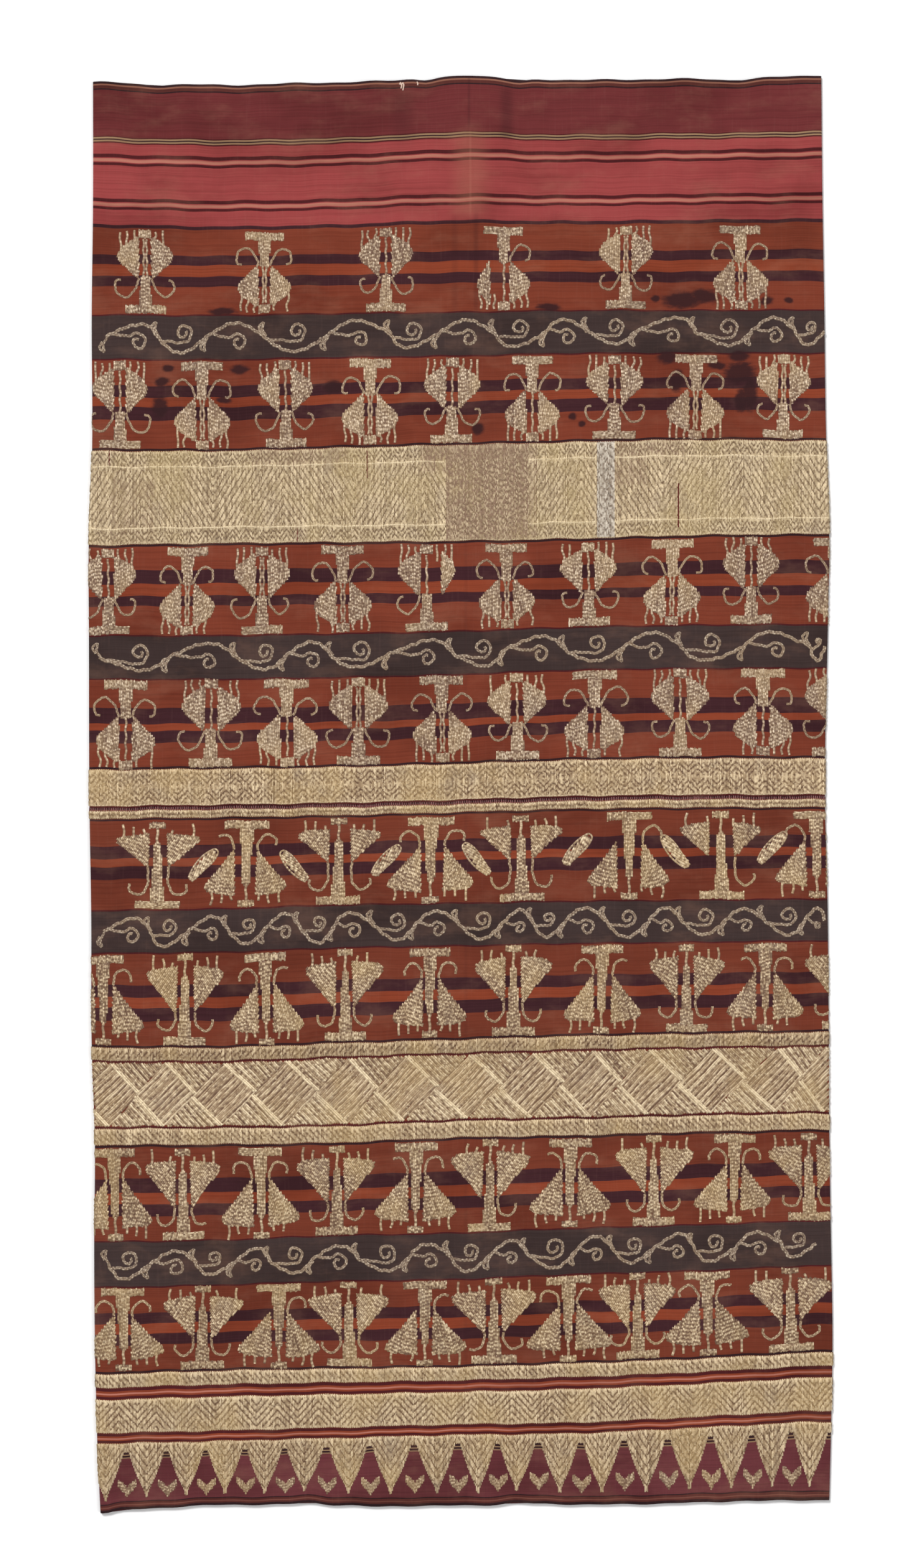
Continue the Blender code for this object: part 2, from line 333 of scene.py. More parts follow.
def grain(tree, places, scale, detail, roughness=0.5):
    """Noise from 0 to 1. Its scale is how many times it repeats each way in a metre."""
    spread = node(tree, "VectorMath", {"operation": "MULTIPLY"}, n0=places, n1=scale)
    noise = node(tree, "TexNoise", None, Vector=spread.outputs[0], Scale=1.0, Detail=detail,
                 Roughness=roughness)
    return noise.outputs["Fac"]


def math_of(tree, first, second, operation="ADD"):
    """One number from two."""
    return node(tree, "Math", {"operation": operation}, n0=first, n1=second).outputs[0]


def ranged(tree, value, low, high, to_low=0.0, to_high=1.0):
    """A value moved softly from one range to another and held inside it."""
    settings = {"interpolation_type": "SMOOTHSTEP"}
    return node(tree, "MapRange", settings, n0=value, n1=low, n2=high, n3=to_low, n4=to_high).outputs[0]


def tinted(tree, colour, factor, tint, blend="MIX"):
    """A colour mixed towards another, or multiplied by it."""
    settings = {"data_type": "RGBA", "blend_type": blend}
    return node(tree, "Mix", settings, n0=factor, n6=colour, n7=tint).outputs[2]


def bumped(tree, shader, height, strength, distance):
    """Fine relief on a material, from a height."""
    bump = node(tree, "Bump", None, Strength=strength, Distance=distance, Height=height)
    tree.links.new(bump.outputs[0], shader.inputs["Normal"])


def cotton(name, stains):
    """Handwoven cotton: dyed yarns a little uneven in tone, worn paler in places, with painted shade along
    its creases and folds and a painted highlight beside the middle crease, rough and dull.
    """
    material, tree, shader = shader_of(name)
    places = node(tree, "UVMap", {"uv_map": "cloth"}).outputs[0]
    colour = node(tree, "VertexColor", {"layer_name": "dye"}).outputs[0]
    along = grain(tree, places, (6, 800, 1), 3.0)
    dim = (0.45, 0.37, 0.35, 1)
    colour = tinted(tree, colour, ranged(tree, along, 0.38, 0.72, 0.0, 0.36), dim, "MULTIPLY")
    upright = grain(tree, places, (500, 30, 1), 2.0)
    colour = tinted(tree, colour, ranged(tree, upright, 0.5, 0.8, 0.0, 0.018), (0.62, 0.34, 0.28, 1))
    cloudy = grain(tree, places, (8, 13, 1), 4.0, 0.6)
    colour = tinted(tree, colour, ranged(tree, cloudy, 0.40, 0.68, 0.0, 0.50), dim, "MULTIPLY")
    faded = grain(tree, places, (17, 34, 1), 4.0, 0.65)
    colour = tinted(tree, colour, ranged(tree, faded, 0.46, 0.74, 0.0, 0.10), (0.50, 0.25, 0.16, 1))
    across, down, _ = node(tree, "SeparateXYZ", None, Vector=places).outputs
    # painted shade and highlight along the creases and folds, and one faded zone, mixed into the colour
    for crease, top, foot, reach, strength, tint in PAINTED_CREASE_SHADING_AND_FADE:
        off = math_of(tree, math_of(tree, across, crease * MM, "SUBTRACT"), 0.0, "ABSOLUTE")
        near = ranged(tree, off, 0.1 * reach * MM, reach * MM, strength, 0.0)
        below = ranged(tree, down, (top - 8) * MM, (top + 8) * MM)
        above = ranged(tree, down, (foot - 12) * MM, (foot + 2) * MM, 1.0, 0.0)
        length = math_of(tree, below, above, "MULTIPLY")
        colour = tinted(tree, colour, math_of(tree, near, length, "MULTIPLY"), tint)
    if stains:
        nearest = 9.0
        for stain_across, stain_down, reach_across, reach_down in STAINS:
            centre = (stain_across * MM, stain_down * MM, 0)
            offset = node(tree, "VectorMath", {"operation": "SUBTRACT"}, n0=places, n1=centre)
            shrink = (1000 / reach_across, 1000 / reach_down, 0)
            offset = node(tree, "VectorMath", {"operation": "MULTIPLY"}, n0=offset.outputs[0], n1=shrink)
            length = node(tree, "VectorMath", {"operation": "LENGTH"}, n0=offset.outputs[0])
            nearest = math_of(tree, length.outputs["Value"], nearest, "MINIMUM")
        ragged = math_of(tree, grain(tree, places, (130, 260, 1), 3.0, 0.6), 1.1, "MULTIPLY")
        nearest = math_of(tree, nearest, ragged)
        colour = tinted(tree, colour, ranged(tree, nearest, 1.25, 2.05, 0.92, 0.0), dyed(49, 26, 28))
    tree.links.new(colour, shader.inputs["Base Color"])
    waves = []
    for way, scale, distortion in (("X", 420.0, 1.2), ("Y", 560.0, 1.0)):
        wave = node(tree, "TexWave", {"wave_type": "BANDS", "bands_direction": way}, Vector=places,
                    Scale=scale, Distortion=distortion, Detail=1.0, Detail_Scale=0.3)
        waves.append(wave.outputs["Fac"])
    yarns = math_of(tree, *waves, "MAXIMUM")
    slubs = math_of(tree, yarns, math_of(tree, along, 1.4, "MULTIPLY"))
    bumped(tree, shader, slubs, 0.35, 0.0003)
    tree.links.new(ranged(tree, yarns, 0.0, 1.0, 0.97, 0.86), shader.inputs["Roughness"])
    shader.inputs["Specular IOR Level"].default_value = 0.12
    shader.inputs["Sheen Weight"].default_value = 0.03
    return material


upper_cloth = weave_panel("upper_cloth", 0.0, UPPER_STRIPES, cotton("striped cotton, stained", True))
lower_cloth = weave_panel("lower_cloth", SEAM_DOWN + 0.3, LOWER_STRIPES, cotton("striped cotton", False))
for cloth, solid, length in ((upper_cloth, "upper_panel", 0.621), (lower_cloth, "lower_panel", 0.604)):
    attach(cloth, "root")
    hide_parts(solid)


# The sewing. Mauve cotton thread whips the lower panel to the upper one, edge to edge, and a few pale
# ends of old thread are left standing in the waist hem.
THREAD_FOOT = 0.08
FRONT_REACH = 324
luck = random.Random(7)


def strays(low, high, like):
    """A chance amount for each of a row of things."""
    return np.array([luck.uniform(low, high) for _ in like])


def twisted(tree, shader, thread, scale, distortion, strength):
    """The slanting turns of a thread, as fine relief."""
    turns = node(tree, "TexWave", {"wave_type": "BANDS", "bands_direction": "DIAGONAL"}, Vector=thread,
                 Scale=scale, Distortion=distortion, Detail=1.0)
    bumped(tree, shader, turns.outputs["Fac"], strength, 0.0002)


def sewing_thread(name, colour):
    """Plain spun cotton thread, matt, with a soft twist."""
    material, tree, shader = shader_of(name)
    thread = node(tree, "UVMap", {"uv_map": "thread"}).outputs[0]
    tone = node(tree, "Attribute", {"attribute_name": "tone"}).outputs["Fac"]
    dark = tuple(0.35 * part for part in colour[:3]) + (1.0,)
    tree.links.new(tinted(tree, dark, tone, colour), shader.inputs["Base Color"])
    twisted(tree, shader, thread, 0.8, 0.8, 0.3)
    shader.inputs["Roughness"].default_value = 0.85
    shader.inputs["Specular IOR Level"].default_value = 0.2
    return material


def thread_of(across, down, lift, tone, wear, width):
    """One thread: the line it follows over the cloth, the height of its crest, its tone with any painted
    highlights and shade, and its wear.
    """
    given = [np.asarray(part, float) for part in (across, down, lift, tone, wear)]
    return [np.broadcast_to(part, given[1].shape) for part in given], width


def sew(name, threads, material):
    """Join threads into one piece. Each is a ridge three points across that follows its line."""
    counts = np.array([len(parts[1]) for parts, width in threads])
    joined = [np.concatenate(parts) for parts in zip(*(parts for parts, width in threads))]
    across, down, lift, tone, wear = joined
    half = np.repeat([width / 2 for parts, width in threads], counts)
    ends = np.cumsum(counts)
    starts = np.repeat(ends - counts, counts)
    index = np.arange(len(down))
    before = np.maximum(index - 1, starts)
    after = np.minimum(index + 1, np.repeat(ends, counts) - 1)
    run_across, run_down = across[after] - across[before], down[after] - down[before]
    length = np.maximum(np.hypot(run_across, run_down), 1e-6)
    side_across, side_down = -run_down / length * half, run_across / length * half
    foot = np.minimum(THREAD_FOOT, lift)
    rails = np.stack([
        on_cloth(across + side_across, down + side_down, foot),
        on_cloth(across, down, lift),
        on_cloth(across - side_across, down - side_down, foot),
    ], axis=1)
    first = np.flatnonzero(np.repeat(ends, counts) - 1 > index)
    faces = (first[:, None] * 3 + np.array([[0, 3, 4, 1, 1, 4, 5, 2]])).reshape(-1, 4)
    mesh = bpy.data.meshes.new(name)
    mesh.from_pydata(rails.reshape(-1, 3).tolist(), [], faces.tolist())
    travelled = np.cumsum(np.hypot(across - across[before], down - down[before]))
    travelled -= travelled[starts]
    sides = np.tile([0.0, 0.5, 1.0], len(down))
    flat = np.stack([np.repeat(across, 3), np.repeat(down, 3)], -1) * MM
    corners = faces.ravel()
    flat_map(mesh, "cloth", flat[corners])
    flat_map(mesh, "thread", np.stack([sides, np.repeat(travelled, 3)], -1)[corners])
    low, high = flat.min(axis=0), flat.max(axis=0)
    flat_map(mesh, "OFBake", ((flat - low) / (high - low))[corners])
    # the tone attribute holds each thread's own tone with its painted highlights and shade
    for attribute, values in (("tone", tone), ("wear", wear)):
        layer = mesh.attributes.new(attribute, "FLOAT", "POINT")
        layer.data.foreach_set("value", np.repeat(np.clip(values, 0, 1), 3).astype(np.float32))
    mesh.shade_smooth()
    mesh.materials.append(material)
    piece = added(name, mesh)
    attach(piece, "root")


def whip_stitches():
    """Short upright stitches over the seam, close on the front and further apart behind."""
    threads, across = [], -JOIN
    while across < JOIN:
        front = abs(across) < FRONT_REACH
        top, foot = SEAM_DOWN - 0.2 + luck.uniform(-0.3, 0.3), SEAM_DOWN + 2.6 + luck.uniform(-0.5, 0.4)
        lean = luck.uniform(-0.3, 0.5)
        tone = luck.uniform(0.2, 0.9)
        threads.append(thread_of([across, across + lean], [top, foot], 0.55, tone, 0.0, 0.9))
        across += (1.9 if front else 4.0) * luck.uniform(0.85, 1.15)
    return threads


OLD_ENDS = (
    # across and down of each bend of a pale loose end, three bends each
    (-51.6, 1.8, -50.4, 4.6, -51.0, 7.2), (-49.6, 2.2, -48.6, 4.4, -49.4, 9.0),
    (-37.4, 1.8, -36.6, 3.0, -36.8, 4.8), (-52.6, 3.0, -51.0, 3.6, -49.0, 3.0),
)
ends = []
for points in OLD_ENDS:
    ends.append(thread_of(points[::2], points[1::2], (0.5, 0.9, 0.4), (0.8, 1.0, 0.7), 0.0, 1.1))
mauve = sewing_thread("mauve sewing thread", dyed(150, 100, 98))
sew("seam_stitches", whip_stitches(), mauve)
sew("old_thread_ends", ends, sewing_thread("pale sewing thread", dyed(224, 196, 178)))


# The broad gold band. Gilt thread is laid up and down in pairs, side by side, and turned back in small
# loops at the edges. Stitches hold it down. Their dips line up as chevrons in the field and as small
# zigzags in the borders, and a bright cord parts the borders from the field.
THREAD_PITCH = 0.95
THREAD_WIDTH = 1.1
CREST = 0.9
DIP = 0.2
BACK_PITCH = 2.6


def gilt_thread(name, *colours):
    """Worn gilt strip wrapped on a cotton core, with painted highlights and glints on the crests, and
    painted shade where stitches pull it in and in the grooves between threads.
    """
    material, tree, shader = shader_of(name)
    dull, plain, bright, warm = (dyed(*colour) for colour in colours)
    places = node(tree, "UVMap", {"uv_map": "cloth"}).outputs[0]
    thread = node(tree, "UVMap", {"uv_map": "thread"}).outputs[0]
    tone = node(tree, "Attribute", {"attribute_name": "tone"}).outputs["Fac"]
    wear = node(tree, "Attribute", {"attribute_name": "wear"}).outputs["Fac"]
    # low tone is painted shade at dips and grooves, and high tone is painted highlight on crests, besides
    # each thread's own tone
    colour = tinted(tree, dull, ranged(tree, tone, 0.0, 0.5), plain)
    colour = tinted(tree, colour, ranged(tree, tone, 0.45, 1.0), bright)
    gilding = grain(tree, places, (17, 11, 1), 3.0, 0.6)
    colour = tinted(tree, colour, ranged(tree, gilding, 0.44, 0.66, 0.0, 0.42), warm)
    # darker specks, and bright ones that are painted glints
    flecks = grain(tree, places, (780, 430, 1), 2.0, 0.6)
    colour = tinted(tree, colour, ranged(tree, flecks, 0.28, 0.50, 0.62, 0.0), dyed(108, 78, 52))
    colour = tinted(tree, colour, ranged(tree, flecks, 0.54, 0.72, 0.0, 0.66), bright)
    tarnish = grain(tree, places, (38, 26, 1), 4.0, 0.6)
    colour = tinted(tree, colour, ranged(tree, tarnish, 0.52, 0.76, 0.0, 0.34), dyed(148, 130, 112))
    colour = tinted(tree, colour, wear, dyed(140, 112, 90))
    # painted shade in the grooves: each thread darker towards its edges
    over = node(tree, "SeparateXYZ", None, Vector=thread).outputs[0]
    from_middle = math_of(tree, over, 0.5, "SUBTRACT")
    groove_shade = ranged(tree, math_of(tree, from_middle, 0.0, "ABSOLUTE"), 0.30, 0.5, 0.0, 0.32)
    colour = tinted(tree, colour, groove_shade, dyed(92, 62, 42))
    tree.links.new(colour, shader.inputs["Base Color"])
    twisted(tree, shader, thread, 1.0, 0.6, 0.4)
    shader.inputs["Metallic"].default_value = 0.35
    tree.links.new(ranged(tree, flecks, 0.2, 0.7, 0.60, 0.36), shader.inputs["Roughness"])
    return material


def couched(top, foot, dips, tone, pull):
    """Places down a laid thread, with its height and tone: low where a stitch pulls it in and where it goes
    down at its ends, painted darker there as shade, with painted highlights at random on its crests.
    """
    downs, lifts, tones = [top, top + 0.6], [0.25, 0.8 * CREST], [tone - 0.2, tone + 0.2]
    for place in sorted(dips):
        if place - 1.5 < downs[-1] + 0.3 or place > foot - 2.0:
            continue
        downs += [place - 1.5, place, place + 1.5]
        crests = CREST * luck.uniform(0.8, 1.1), CREST * luck.uniform(0.8, 1.1)
        lifts += [crests[0], CREST - pull * (CREST - DIP), crests[1]]
        # painted highlights on the crests and painted shade at the stitch
        tones += [tone + luck.uniform(-0.15, 0.5), tone - 0.9 * pull, tone + luck.uniform(-0.15, 0.35)]
    downs += [foot - 0.6, foot]
    lifts += [0.8 * CREST, 0.25]
    tones += [tone + 0.2, tone - 0.2]
    return np.array(downs), np.array(lifts), np.array(tones)


def slanted(low, high, origin, interval, stray=0.5):
    """Stitches at nearly even steps from an origin, as far as they fall between low and high."""
    first = math.ceil((low - origin) / interval)
    last = math.floor((high - origin) / interval)
    return [origin + interval * k + luck.uniform(-stray, stray) for k in range(first, last + 1)]


def away_from(across, peaks):
    """Distance from the nearest of the peaks."""
    return min(abs(across - peak) for peak in peaks)


def repeated(peaks):
    """Peaks of the front carried round the folds and over the back at their own usual step."""
    step = (peaks[-1] - peaks[0]) / (len(peaks) - 1)
    left = [peaks[0] - step * k for k in range(1, math.ceil((peaks[0] + JOIN) / step) + 1)]
    right = [peaks[-1] + step * k for k in range(1, math.ceil((JOIN - peaks[-1]) / step) + 1)]
    return sorted(left + list(peaks) + right)


def lay_band(top, foot, dips_at, tone, pull=1.0, wear_at=None, foot_at=None):
    """Threads of a band, close together on the front and wider apart behind."""
    threads, across, number = [], -JOIN, 0
    while across < JOIN:
        front = abs(across) < FRONT_REACH
        stagger = 0.45 if number % 2 else 0.0
        low = top + stagger + luck.uniform(0, 0.25)
        high = (foot_at(across) if foot_at else foot) - stagger - luck.uniform(0, 0.25)
        dips = dips_at(across)
        dips = dips if front else dips[::2]
        downs, lifts, tones = couched(low, high, dips, tone + luck.gauss(0, 0.10), pull)
        wear = wear_at(across, downs) if wear_at else 0.0
        width = THREAD_WIDTH if front else 1.06 * BACK_PITCH
        threads.append(thread_of(across, downs, lifts if front else 0.5 * lifts, tones, wear, width))
        across += THREAD_PITCH if front else BACK_PITCH
        number += 1
    return threads


def long_cord(down, start, end, tone=0.9, width=1.2):
    """A bright cord along a band, held at short steps, its raised beads painted lighter as highlight and
    the held ones darker as shade.
    """
    across = np.arange(start, end, 1.6)
    beads = np.arange(len(across)) % 2
    fall = strays(-0.15, 0.15, across)
    lift = (0.75 + 0.35 * beads) * np.where(np.abs(across) < FRONT_REACH, 1.0, 0.4)
    # raised beads get a painted highlight, held ones painted shade
    return thread_of(across, down + fall, lift, tone - 0.35 + 0.35 * beads, 0.05, width)


BROAD_TOP, BROAD_FOOT = 314.8, 397.6
BORDER = 14.2
APEXES = repeated((-272.5, -151.4, -30.9, 103.4, 242.6))
RUBBED = (-12, 58)
MENDED = (117, 132)
MENDED_MIDDLE = 124.5
WORN_PLACES = (
    # left, right, top and foot of each worn place, and how much of the gilt is gone
    (-12, 58, 300, 400, 0.42), (-34, -12, 300, 338, 0.25), (58, 66, 300, 400, 0.2),
    (-180, -96, 300, 329, 0.2), (-34, 58, 300, 329, 0.2), (132, 192, 300, 329, 0.22),
    (132, 160, 329, 352, 0.2), (-300, -262, 340, 398, 0.12),
)
BROAD_SLITS = (
    # across, top and foot of the short upright slits where threads part and bare cloth shows
    (-301.0, 315.4, 328.0), (-139.7, 384.5, 397.0), (-80.0, 318.0, 341.0), (186.6, 352.0, 390.0),
)


def broad_dips(across):
    """Zigzags in both borders and chevrons in the field between them."""
    field = away_from(across, APEXES)
    zigzag = abs((across + 4) % 11.6 - 5.8)
    if RUBBED[0] < across < RUBBED[1]:
        steps = [luck.uniform(3.2, 6.5) for _ in range(16)]
        return list(BROAD_TOP + luck.uniform(0, 4) + np.cumsum(steps))
    if MENDED[0] < across < MENDED[1]:
        cross = 1.1 * abs(across - MENDED_MIDDLE) * luck.choice((1, 1, -1))
        return slanted(BROAD_TOP + 1, BROAD_FOOT - 2, BROAD_TOP + 8 + cross, 8.4)
    dips = slanted(BROAD_TOP, BROAD_TOP + BORDER - 1.5, BROAD_TOP + 2 + 1.5 * zigzag, 5.2)
    low, high = BROAD_TOP + BORDER + 1.5, BROAD_FOOT - BORDER - 1.5
    dips += slanted(low, high, BROAD_TOP + 1.7 * field, 8.0, 0.2)
    dips += slanted(BROAD_FOOT - BORDER + 1.5, BROAD_FOOT, BROAD_FOOT - 12 + 1.5 * zigzag, 5.2)
    return dips


def broad_wear(across, downs):
    """Wear down one thread, in flecks, more of them inside the worn places."""
    flecks = np.array([luck.random() for _ in downs])
    worn = np.full(len(downs), 0.08)
    for left, right, top, foot, gone in WORN_PLACES:
        if left < across < right:
            worn += np.where((downs > top) & (downs < foot), gone, 0.0)
    return worn * np.where(flecks < 0.25, 2.3, 0.2 + flecks)


def is_mended(thread):
    """Whether a thread lies in the strip that was laid again in silver."""
    parts, width = thread
    return MENDED[0] < parts[0][0] < MENDED[1]


gold = gilt_thread("worn gilt thread", (92, 61, 40), (169, 143, 110), (232, 211, 175), (190, 161, 108))
old_gold = gilt_thread("old gilt thread", (88, 64, 42), (165, 143, 109), (230, 210, 174), (182, 160, 108))
silver = gilt_thread("worn silver thread", (102, 90, 80), (158, 145, 128), (222, 212, 196), (168, 154, 132))
laid = lay_band(BROAD_TOP, BROAD_FOOT, broad_dips, 0.58, wear_at=broad_wear)
sew("mended_strip", [thread for thread in laid if is_mended(thread)], silver)
broad = [thread for thread in laid if not is_mended(thread)]
for down in (BROAD_TOP + BORDER, BROAD_FOOT - BORDER):
    for start, end in ((-JOIN, RUBBED[0]), (RUBBED[1], MENDED[0]), (MENDED[1], JOIN)):
        broad.append(long_cord(down, start, end, 1.2, 1.9))
broad.append(long_cord(BROAD_FOOT - 0.9, -JOIN, JOIN, 0.9, 1.0))
sew("broad_gold_band", broad, old_gold)
slits = []
for across, top, foot in BROAD_SLITS:
    slits.append(thread_of(across, np.linspace(top, foot, 4), 1.15, 0.6, 0.0, 1.3))
sew("bare_slits", slits, sewing_thread("red cloth in the slits", dyed(112, 42, 36)))


# The lattice band over the seam, and the narrow ticked band just under it. Both are laid and stitched
# in the same way, the upper with lozenges one inside another, the lower with one row of stitches.
LATTICE_TOP, LATTICE_FOOT = 588.2, 619.4
LATTICE_MIDDLE = 603.4
LOZENGE_STEP = 16.5


def lattice_dips(across):
    """Lozenges one inside another round the middle line."""
    swing = abs((across + 3) % LOZENGE_STEP - LOZENGE_STEP / 2)
    above = slanted(LATTICE_TOP + 1.5, LATTICE_MIDDLE - 1, LATTICE_MIDDLE + swing - 2, 4.9)
    below = slanted(LATTICE_MIDDLE + 1, LATTICE_FOOT - 2.5, LATTICE_MIDDLE - swing + 2, 4.9)
    return above + below


def ticked_dips(across):
    """One stitch in each thread."""
    return [626.6 + luck.uniform(-0.8, 0.8)]


lattice = lay_band(LATTICE_TOP, LATTICE_FOOT, lattice_dips, 0.50, 0.52)
lattice.append(long_cord(LATTICE_FOOT - 0.9, -JOIN, JOIN))
sew("lattice_band", lattice, gold)
sew("ticked_band", lay_band(622.8, 630.1, ticked_dips, 0.50, 0.4), gold)


# The diamond band. Between two narrow slanted bands stands a row of diamonds, each laid with slanting
# ridges of thread. The triangles between them are paler, and bright ribbons edge two of their sides.
DIAMOND_TOP, DIAMOND_FOOT = 837.5, 893.0
DIAMOND_MIDDLE = (DIAMOND_TOP + DIAMOND_FOOT) / 2
DIAMONDS = repeated((-300.7, -253.8, -203.7, -150.4, -96.5, -48.0, 6.4, 61.3, 112.0, 161.0, 214.9, 271.4,
                     312.0))


def laid_in(outline, lean=0.0, pitch=1.45, stitch=3.2, tone=0.5, wear=0.0, crest=0.8, ridge=0, drift=0.0,
            stray=1.6, pull=1.0):
    """Pairs of threads laid side by side over a shape and cut off at its outline, with stitches along
    them. Lean is their angle from upright. Ridge is how many lie between two deep grooves. Drift and
    stray are how far each pair's stitches move on from those of the last, evenly and by chance. Pull
    is how much the stitches pull in, and how dark the painted shade at them is. Crests carry painted
    glints at random, and threads in the grooves are painted darker as shade."""
    cos, sin = math.cos(lean), math.sin(lean)
    turned = [(x * cos - y * sin, x * sin + y * cos) for x, y in outline]
    low, high = min(x for x, y in turned), max(x for x, y in turned)
    count = max(1, round((high - low) / pitch))
    step = (high - low) / count
    threads, half, phase = [], stitch / 2, luck.random()
    drift *= luck.choice((-1, 1))
    for number in range(count):
        line = low + step * (number + 0.5) + 0.001
        if number % 2 == 0:
            phase += drift + luck.uniform(-stray, stray)
        cuts = []
        for (x0, y0), (x1, y1) in zip(turned, turned[1:] + turned[:1]):
            if (x0 - line) * (x1 - line) < 0:
                cuts.append(y0 + (y1 - y0) * (line - x0) / (x1 - x0))
        cuts.sort()
        level = 1.0 if not ridge else (0.3, 1.05, 1.0)[number % ridge]
        for top, foot in zip(cuts[::2], cuts[1::2]):
            if foot - top < 1.0:
                continue
            top, foot = top - luck.uniform(-0.3, 0.9), foot + luck.uniform(-0.3, 0.9)
            steps = np.arange(math.ceil((top + 0.5) / half - phase), (foot - 0.5) / half - phase)
            along = np.concatenate([[top], (steps + phase) * half, [foot]])
            along[1:-1] += strays(-0.3, 0.3, steps)
            rise = np.concatenate([[0], steps % 2, [0]])
            lift = level * np.where(rise, crest, (1 - 0.65 * pull) * crest)
            lift[[0, -1]] = 0.2
            # painted glints: random highlights and darker spots along the thread
            glints = [luck.uniform(-0.4, 0.35) + (0.5 if luck.random() < 0.2 else 0.0) for _ in along]
            # painted shade on threads in the grooves and at the stitches, painted highlight on the crests
            shade = tone + luck.gauss(0, 0.1) + (level - 1.0) * 0.7
            shade += np.array(glints) * (0.4 + 0.6 * pull) + np.where(rise, 0.24, 0.24 - 0.83 * pull)
            aside = line + strays(-0.25, 0.25, along)
            across = aside * cos + along * sin
            down = -aside * sin + along * cos
            threads.append(thread_of(across, down, lift, shade, wear, 1.12 * step))
    return threads


def lay_diamonds():
    """Slanting ridges in each diamond, and threads laid over the triangles between them."""
    threads = []
    half_height = (DIAMOND_FOOT - DIAMOND_TOP) / 2 - 0.6
    gaps = list(zip(DIAMONDS[:-1], DIAMONDS[1:]))
    for (before, centre), (_, after) in zip(gaps[:-1], gaps[1:]):
        front = abs(centre) < FRONT_REACH + 20
        pitch, stitch = (1.5, 7.0) if front else (3.0, 12.0)
        diamond = [((before + centre) / 2 - 1.2, DIAMOND_MIDDLE), (centre, DIAMOND_MIDDLE - half_height),
                   ((centre + after) / 2 + 1.2, DIAMOND_MIDDLE), (centre, DIAMOND_MIDDLE + half_height)]
        ridge = 3 if front else 0
        threads += laid_in(diamond, -math.pi / 4, pitch, stitch, 0.44, 0.16, 0.9, ridge, pull=0.2)
    for left, right in gaps:
        front = abs(left + right) / 2 < FRONT_REACH + 20
        middle, wide = (left + right) / 2, (right - left) / 2 - 0.5
        pitch, stitch = (1.5, 5.0) if front else (3.0, 12.0)
        lean = math.atan2(wide, half_height)
        ridge = 3 if front else 0
        for tip, base, tone in ((-1.5, -half_height, 0.48), (1.5, half_height, 0.58)):
            tip, base = DIAMOND_MIDDLE + tip, DIAMOND_MIDDLE + base
            triangle = [(middle, tip), (middle - wide, base), (middle + wide, base)]
            threads += laid_in(triangle, lean, pitch, stitch, tone, 0.08, 0.8, ridge, pull=0.4)
            ribbon, inward = (triangle[1::-1], 4.2) if tip < DIAMOND_MIDDLE else (triangle[::2], -4.2)
            for aside in (0.0, 0.5):
                across = np.linspace(ribbon[0][0] + aside * inward, ribbon[1][0] + aside * inward, 16)
                down = np.linspace(ribbon[0][1], ribbon[1][1], 16)
                tones = 0.95 + strays(-0.3, 0.2, down)
                threads.append(thread_of(across, down, 1.0 if front else 0.4, tones, 0.0, 2.1))
    return threads


def sew_narrow_band(name, top, foot, slope, tone, pull):
    """A narrow band with one even slant of stitches."""
    def dips(across):
        return slanted(top + 1, foot - 1.5, top + slope * across, 5.3)
    sew(name, lay_band(top, foot, dips, tone, pull), gold)


sew_narrow_band("diamond_band_top", 824.5, 836.2, -1, 0.40, 0.42)
sew("diamond_band", lay_diamonds(), gold)
sew_narrow_band("diamond_band_foot", 894.4, 908.9, 1, 0.52, 0.45)


# The hem bands: a slanted one, a zigzag one, and the last, which hangs in points that end in thin
# stems. Forked leaves are laid in the gaps between the points, of duller thread.
POINT_TIPS = repeated((-304, -269, -235, -202, -168, -134, -96, -60, -20, 15, 48, 85, 121, 159, 196, 232,
                       267, 299))
ZIGZAG_TIPS = repeated((-293, -261, -227, -193, -157, -122, -89, -56, -25, 9, 44, 78, 113, 148, 182, 217,
                        252))
POINT_DEPTHS = (0, 10, 20, 26, 31, 35, 38, 42)
POINT_WIDTHS = (0.88, 0.71, 0.52, 0.38, 0.25, 0.15, 0.085, 0.06)
ZIGZAG_TOP = 1126.3
POINTED_TOP = 1163.1
GAP_TOP = 1171.9


def point_foot(across):
    """How far down a thread of the band reaches. Widths are parts of the way to a gap's middle."""
    gap_middles = [(left + right) / 2 for left, right in zip(POINT_TIPS[:-1], POINT_TIPS[1:])]
    away, to_gap = away_from(across, POINT_TIPS), away_from(across, gap_middles)
    return GAP_TOP + float(np.interp(away / (away + to_gap), POINT_WIDTHS[::-1], POINT_DEPTHS[::-1]))


def point_dips(across):
    """Stitches in chevrons whose tips hang down at the points."""
    origin = POINTED_TOP - 1.6 * away_from(across, POINT_TIPS)
    return slanted(POINTED_TOP + 1, HEM_DOWN, origin, 7.5, 0.3)


def zigzag_dips(across):
    """Stitches in chevrons that stand with their tips up."""
    return slanted(1128.0, 1152.0, ZIGZAG_TOP + 1.1 * away_from(across, ZIGZAG_TIPS), 5.8, 0.3)


def forked_leaf(centre, top):
    """Outline of a leaf that forks upward and ends below in a short stem."""
    across = (-8.0, -4.2, 0.0, 4.2, 8.0, 7.6, 4.8, 1.4, 1.0, -1.0, -1.4, -4.8, -7.6)
    down = (2.4, 4.6, 9.0, 4.6, 2.4, 8.4, 12.4, 15.2, 18.4, 18.4, 15.2, 12.4, 8.4)
    return [(centre + x, top + y) for x, y in zip(across, down)]


